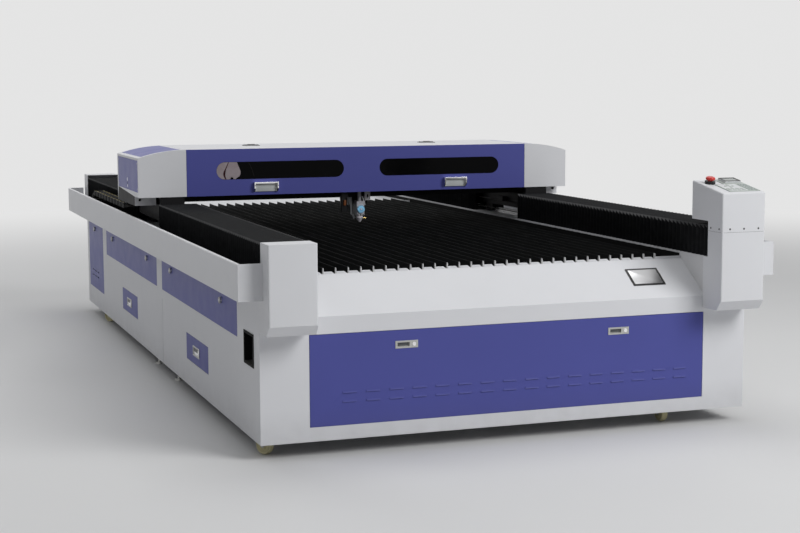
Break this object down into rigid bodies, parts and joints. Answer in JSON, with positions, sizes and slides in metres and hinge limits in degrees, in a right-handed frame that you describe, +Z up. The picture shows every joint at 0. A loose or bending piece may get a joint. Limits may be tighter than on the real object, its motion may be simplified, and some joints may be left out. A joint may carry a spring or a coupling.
{
  "type": "carbon dioxide laser cutter",
  "caption": "Flat-bed laser cutter on a welded frame: a covered gantry and laser head travel over a bed of upright slats between bellows-covered rails, with a control tower at one corner.",
  "frame": {"origin": "on the floor under the middle of the machine", "axes": "+Z up, +Y from the front door towards the exhaust end, +X to the control tower side"},
  "size_m": [2.398, 4.78, 1.1645],
  "materials": {
    "white_coat": "smooth powder coat",
    "blue_coat": "semi-gloss paint",
    "frame_steel": "matt black paint",
    "steel": "ground",
    "blackened": "burnt black",
    "galvanised": "galvanised",
    "bellows": "coated cloth",
    "rubber": "matt",
    "black_plastic": "moulded",
    "panel_plastic": "membrane",
    "red_plastic": "gloss",
    "acrylic": "polished",
    "chrome": "polished",
    "zinc": "zinc plated",
    "aluminium": "anodised",
    "glass": "clear",
    "caster_cream": "moulded",
    "chain_plastic": "moulded"
  },
  "bodies": {
    "base": {"base_frame": "white_coat", "y_rails": "steel", "skin_left": "white_coat", "skin_right": "white_coat", "skin_rear": "white_coat", "front_fascia": "white_coat", "slat_combs": "white_coat", "slats": "blackened", "scrap_hopper": "galvanised", "cable_troughs": "white_coat", "end_covers": "white_coat", "tower_base": "white_coat", "tower_top": "white_coat", "control_face": "panel_plastic", "estop_collar": "black_plastic", "recess_pull": "black_plastic", "power_supply": "aluminium", "y_belts": "rubber", "y_motors": "black_plastic", "bellows_front": "bellows", "bellows_rear": "bellows", "drag_chain": "chain_plastic"},
    "gantry": {"gantry_feet": "frame_steel", "gantry_beam": "frame_steel", "gantry_cover": "white_coat", "end_panels": "blue_coat", "lid_hinges": "black_plastic", "laser_tube": "glass", "beam_mirrors": "aluminium", "x_rail": "steel", "x_belt": "rubber", "x_motor": "black_plastic"},
    "lid": {"gantry_lid": "blue_coat", "lid_windows": "acrylic", "lid_handles": "chrome"},
    "head": {"head_carriage": "frame_steel", "focus_head": "aluminium"},
    "lens": {"lens_tube": "aluminium"},
    "x_drive": {"x_drive_pulley": "aluminium"},
    "x_idle": {"x_idler": "aluminium"},
    "y_idle": {"y_idlers": "aluminium"},
    "y_drive": {"y_drive_pulleys": "aluminium"},
    "estop": {"estop_button": "red_plastic"},
    "door": {"front_door": "blue_coat", "door_latches": "zinc"},
    "button_left": {"latch_button_left": "zinc"},
    "button_right": {"latch_button_right": "zinc"},
    "panel_front": {"side_panel_front": "blue_coat"},
    "panel_middle": {"side_panel_middle": "blue_coat"},
    "panel_rear": {"side_panel_rear": "blue_coat"},
    "drawer_one": {"drawer_front": "blue_coat"},
    "drawer_two": {"drawer_rear": "blue_coat"},
    "fork_front_left": {"caster_fork_front_left": "zinc"},
    "wheel_front_left": {"caster_wheel_front_left": "caster_cream"},
    "fork_front_right": {"caster_fork_front_right": "zinc"},
    "wheel_front_right": {"caster_wheel_front_right": "caster_cream"},
    "fork_rear_left": {"caster_fork_rear_left": "zinc"},
    "wheel_rear_left": {"caster_wheel_rear_left": "caster_cream"},
    "fork_rear_right": {"caster_fork_rear_right": "zinc"},
    "wheel_rear_right": {"caster_wheel_rear_right": "caster_cream"}
  },
  "joints": [
    {"name": "gantry_travel", "type": "slide", "parent": "base", "child": "gantry", "axis": [0, 1, 0], "range_m": [-1.642, 1.358], "deforming": ["bellows_front", "bellows_rear", "drag_chain"]},
    {"name": "lid_hinge", "type": "hinge", "parent": "gantry", "child": "lid", "pos_m": [0, 0.173, 1.1605], "axis": [-1, 0, 0], "range_deg": [0, 85]},
    {"name": "head_travel", "type": "slide", "parent": "gantry", "child": "head", "axis": [1, 0, 0], "range_m": [-0.75, 0.75]},
    {"name": "lens_focus", "type": "slide", "parent": "head", "child": "lens", "axis": [0, 0, 1], "range_m": [-0.005, 0.01]},
    {"name": "x_drive_spin", "type": "hinge", "parent": "gantry", "child": "x_drive", "pos_m": [0.93, -0.052, 0.985], "axis": [0, 1, 0], "continuous": true},
    {"name": "x_idler_spin", "type": "hinge", "parent": "gantry", "child": "x_idle", "pos_m": [-0.93, -0.052, 0.985], "axis": [0, 1, 0], "continuous": true},
    {"name": "y_idler_spin", "type": "hinge", "parent": "base", "child": "y_idle", "pos_m": [0, -2.18, 0.795], "axis": [1, 0, 0], "continuous": true},
    {"name": "y_drive_spin", "type": "hinge", "parent": "base", "child": "y_drive", "pos_m": [0, 2.26, 0.795], "axis": [1, 0, 0], "continuous": true},
    {"name": "estop_press", "type": "slide", "parent": "base", "child": "estop", "axis": [0, 0.1695, -0.9855], "range_m": [0, 0.004], "stiffness_N_per_m": 800, "springref_m": -0.003},
    {"name": "front_door_hinge", "type": "hinge", "parent": "base", "child": "door", "pos_m": [0, -2.24, 0.12325], "axis": [1, 0, 0], "range_deg": [0, 90]},
    {"name": "latch_press_left", "type": "slide", "parent": "door", "child": "button_left", "axis": [0, 1, 0], "range_m": [0, 0.003], "stiffness_N_per_m": 500, "springref_m": -0.004},
    {"name": "latch_press_right", "type": "slide", "parent": "door", "child": "button_right", "axis": [0, 1, 0], "range_m": [0, 0.003], "stiffness_N_per_m": 500, "springref_m": -0.004},
    {"name": "panel_front_hinge", "type": "hinge", "parent": "base", "child": "panel_front", "pos_m": [-1.1, -1.0725, 0.44925], "axis": [0, -1, 0], "range_deg": [0, 90]},
    {"name": "panel_middle_hinge", "type": "hinge", "parent": "base", "child": "panel_middle", "pos_m": [-1.1, 0.676, 0.44925], "axis": [0, -1, 0], "range_deg": [0, 90]},
    {"name": "panel_rear_hinge", "type": "hinge", "parent": "base", "child": "panel_rear", "pos_m": [-1.1, 2.17975, 0.406], "axis": [0, 0, -1], "range_deg": [0, 100]},
    {"name": "drawer_front_slide", "type": "slide", "parent": "base", "child": "drawer_one", "axis": [-1, 0, 0], "range_m": [0, 0.5]},
    {"name": "drawer_rear_slide", "type": "slide", "parent": "base", "child": "drawer_two", "axis": [-1, 0, 0], "range_m": [0, 0.5]},
    {"name": "swivel_front_left", "type": "hinge", "parent": "base", "child": "fork_front_left", "pos_m": [-1.03, -2.134, 0.1], "axis": [0, 0, 1], "continuous": true},
    {"name": "roll_front_left", "type": "hinge", "parent": "fork_front_left", "child": "wheel_front_left", "pos_m": [-1.04888, -2.11069, 0.038], "axis": [0.7771, 0.6293, 0], "continuous": true},
    {"name": "swivel_front_right", "type": "hinge", "parent": "base", "child": "fork_front_right", "pos_m": [0.761, -2.149, 0.1], "axis": [0, 0, 1], "continuous": true},
    {"name": "roll_front_right", "type": "hinge", "parent": "fork_front_right", "child": "wheel_front_right", "pos_m": [0.761, -2.119, 0.038], "axis": [1, 0, 0], "continuous": true},
    {"name": "swivel_rear_left", "type": "hinge", "parent": "base", "child": "fork_rear_left", "pos_m": [-1.03, 1.665, 0.1], "axis": [0, 0, 1], "continuous": true},
    {"name": "roll_rear_left", "type": "hinge", "parent": "fork_rear_left", "child": "wheel_rear_left", "pos_m": [-1.05298, 1.68428, 0.038], "axis": [0.6428, 0.766, 0], "continuous": true},
    {"name": "swivel_rear_right", "type": "hinge", "parent": "base", "child": "fork_rear_right", "pos_m": [1.03, 1.665, 0.1], "axis": [0, 0, 1], "continuous": true},
    {"name": "roll_rear_right", "type": "hinge", "parent": "fork_rear_right", "child": "wheel_rear_right", "pos_m": [1.04026, 1.69319, 0.038], "axis": [0.9397, -0.342, 0], "continuous": true}
  ],
  "couplings": [
    {"joint": "y_idler_spin", "follows": "gantry_travel", "rad_per_m": -39.526},
    {"joint": "y_drive_spin", "follows": "gantry_travel", "rad_per_m": -39.526},
    {"joint": "x_drive_spin", "follows": "head_travel", "rad_per_m": -57.803},
    {"joint": "x_idler_spin", "follows": "head_travel", "rad_per_m": -57.803}
  ]
}
